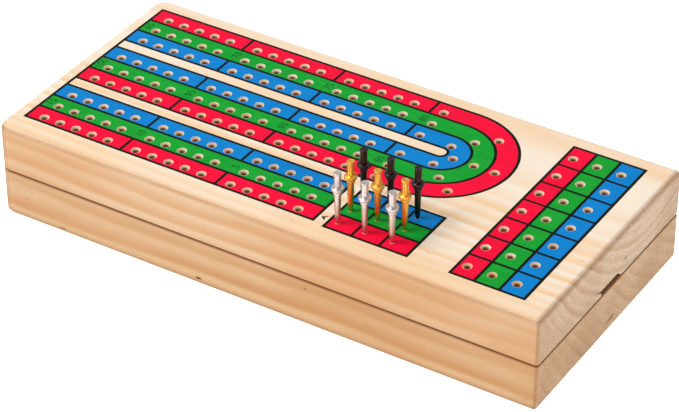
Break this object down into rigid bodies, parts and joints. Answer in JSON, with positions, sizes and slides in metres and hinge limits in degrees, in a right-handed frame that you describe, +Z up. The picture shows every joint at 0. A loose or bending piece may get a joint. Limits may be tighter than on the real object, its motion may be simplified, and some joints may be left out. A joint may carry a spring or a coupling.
{
  "type": "cribbage board",
  "caption": "Folding wooden cribbage board with three printed tracks, peg holes, hinged storage halves and turned metal pegs standing in the starting holes.",
  "frame": {"origin": "middle of the base of the closed board", "axes": "+Z up, +X towards the free end with the finger notch, +Y towards the back"},
  "size_m": [0.2578, 0.12, 0.067],
  "materials": {
    "upper_wood": "smooth sanded pine",
    "lower_wood": "smooth sanded pine",
    "hinge_brass": "satin",
    "screw_brass": "satin",
    "magnet_nickel": "plated",
    "silver_peg": "polished",
    "gold_peg": "polished",
    "black_peg": "glossy black plating"
  },
  "bodies": {
    "lower_half": {"lower_board": "lower_wood", "front_hinge_lower_leaf": "hinge_brass", "front_hinge_pin": "hinge_brass", "back_hinge_lower_leaf": "hinge_brass", "back_hinge_pin": "hinge_brass", "hinge_screws_lower": "screw_brass", "front_magnet_lower": "magnet_nickel", "back_magnet_lower": "magnet_nickel"},
    "upper_half": {"upper_board": "upper_wood", "front_hinge_upper_leaf": "hinge_brass", "back_hinge_upper_leaf": "hinge_brass", "hinge_screws_upper": "screw_brass", "front_magnet_upper": "magnet_nickel", "back_magnet_upper": "magnet_nickel"},
    "loose_silver_peg_1": {"silver_peg_1": "silver_peg"},
    "loose_silver_peg_2": {"silver_peg_2": "silver_peg"},
    "loose_silver_peg_3": {"silver_peg_3": "silver_peg"},
    "loose_gold_peg_1": {"gold_peg_1": "gold_peg"},
    "loose_gold_peg_2": {"gold_peg_2": "gold_peg"},
    "loose_gold_peg_3": {"gold_peg_3": "gold_peg"},
    "loose_black_peg_1": {"black_peg_1": "black_peg"},
    "loose_black_peg_2": {"black_peg_2": "black_peg"},
    "loose_black_peg_3": {"black_peg_3": "black_peg"}
  },
  "joints": [
    {"name": "fold", "type": "hinge", "parent": "lower_half", "child": "upper_half", "pos_m": [-0.12727, 0, 0.02155], "axis": [0, -1, 0], "range_deg": [0, 180]},
    {"name": "silver_peg_1_lift", "type": "slide", "parent": "upper_half", "child": "loose_silver_peg_1", "axis": [0, 0, 1], "range_m": [0, 0.04]},
    {"name": "silver_peg_2_lift", "type": "slide", "parent": "upper_half", "child": "loose_silver_peg_2", "axis": [0, 0, 1], "range_m": [0, 0.04]},
    {"name": "silver_peg_3_lift", "type": "slide", "parent": "upper_half", "child": "loose_silver_peg_3", "axis": [0, 0, 1], "range_m": [0, 0.04]},
    {"name": "gold_peg_1_lift", "type": "slide", "parent": "upper_half", "child": "loose_gold_peg_1", "axis": [0, 0, 1], "range_m": [0, 0.04]},
    {"name": "gold_peg_2_lift", "type": "slide", "parent": "upper_half", "child": "loose_gold_peg_2", "axis": [0, 0, 1], "range_m": [0, 0.04]},
    {"name": "gold_peg_3_lift", "type": "slide", "parent": "upper_half", "child": "loose_gold_peg_3", "axis": [0, 0, 1], "range_m": [0, 0.04]},
    {"name": "black_peg_1_lift", "type": "slide", "parent": "upper_half", "child": "loose_black_peg_1", "axis": [0, 0, 1], "range_m": [0, 0.04]},
    {"name": "black_peg_2_lift", "type": "slide", "parent": "upper_half", "child": "loose_black_peg_2", "axis": [0, 0, 1], "range_m": [0, 0.04]},
    {"name": "black_peg_3_lift", "type": "slide", "parent": "upper_half", "child": "loose_black_peg_3", "axis": [0, 0, 1], "range_m": [0, 0.04]}
  ]
}
